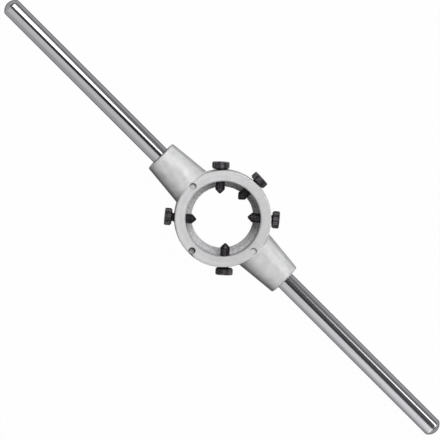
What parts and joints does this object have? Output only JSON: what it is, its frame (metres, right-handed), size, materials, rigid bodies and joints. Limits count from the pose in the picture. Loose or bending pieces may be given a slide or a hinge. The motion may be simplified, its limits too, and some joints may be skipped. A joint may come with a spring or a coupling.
{
  "type": "die stock handle",
  "caption": "Hand stock for round threading dies: cast ring with clamp screws and two long round handles in line.",
  "frame": {"origin": "the point where the axis of the die bore meets the flat back face of the ring, on which the stock lies", "axes": "+Z along the bore axis, out of the bore's mouth; +X along the right-hand handle"},
  "size_m": [0.3068, 0.0533, 0.021],
  "materials": {
    "casting": "satin, blast-cast with a turned front face",
    "plated_steel": "bright plated over ground steel",
    "black_steel": "black oxide"
  },
  "bodies": {
    "stock": {"stock_body": "casting", "handle_right": "plated_steel", "handle_left": "plated_steel"},
    "spreading_screw_body": {"spreading_screw": "black_steel"},
    "closing_screw_right_body": {"closing_screw_right": "black_steel"},
    "closing_screw_left_body": {"closing_screw_left": "black_steel"},
    "holding_screw_left_body": {"holding_screw_left": "black_steel"},
    "holding_screw_right_body": {"holding_screw_right": "black_steel"}
  },
  "joints": [
    {"name": "spreading_screw_travel", "type": "slide", "parent": "stock", "child": "spreading_screw_body", "axis": [0.0488, 0.9988, 0], "range_m": [-0.00005, 0.0069]},
    {"name": "closing_screw_right_travel", "type": "slide", "parent": "stock", "child": "closing_screw_right_body", "axis": [0.7738, 0.6334, 0], "range_m": [-0.0001, 0.00685]},
    {"name": "closing_screw_left_travel", "type": "slide", "parent": "stock", "child": "closing_screw_left_body", "axis": [-0.682, 0.7314, 0], "range_m": [-0.00015, 0.0068]},
    {"name": "holding_screw_left_travel", "type": "slide", "parent": "stock", "child": "holding_screw_left_body", "axis": [-0.776, -0.6307, 0], "range_m": [-0.00095, 0.006]},
    {"name": "holding_screw_right_travel", "type": "slide", "parent": "stock", "child": "holding_screw_right_body", "axis": [0.6743, -0.7385, 0], "range_m": [-0.00015, 0.0068]}
  ]
}
